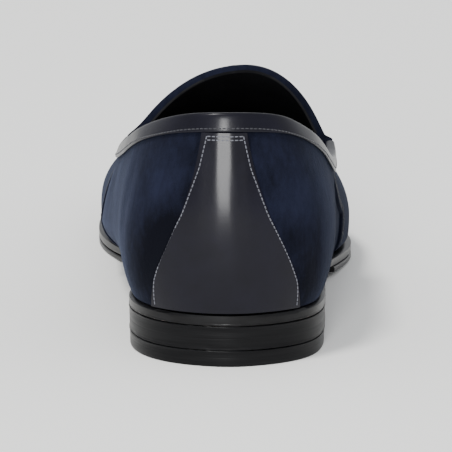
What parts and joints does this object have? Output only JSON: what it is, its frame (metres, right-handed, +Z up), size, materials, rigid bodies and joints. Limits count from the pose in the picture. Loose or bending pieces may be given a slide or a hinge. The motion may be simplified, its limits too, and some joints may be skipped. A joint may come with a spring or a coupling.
{
  "type": "velvet slipper loafer",
  "caption": "Right slip-on loafer in navy velvet with a leather heel strip and collar binding, on a leather sole with a low heel.",
  "frame": {"origin": "bottom centre of the shoe's box, on the floor it stands on", "axes": "+Y from heel to toe, +X towards the outer side of the right foot, +Z up"},
  "size_m": [0.0862, 0.2652, 0.0794],
  "materials": {
    "velvet": "short-pile navy velvet",
    "navy_leather": "smooth polished navy calf",
    "sock_leather": "soft matt black lining leather",
    "sole_leather": "burnished brown sole leather",
    "sole_rubber": "matt black rubber with a fine grain",
    "heel_leather": "stacked heel, edge inked and polished black"
  },
  "bodies": {
    "root": {"upper": "velvet", "heel_strip": "navy_leather", "collar_binding": "navy_leather", "insole": "sock_leather", "outsole": "sole_leather", "forefoot_rubber": "sole_rubber", "heel_block": "heel_leather", "top_lift": "sole_rubber"}
  },
  "joints": []
}
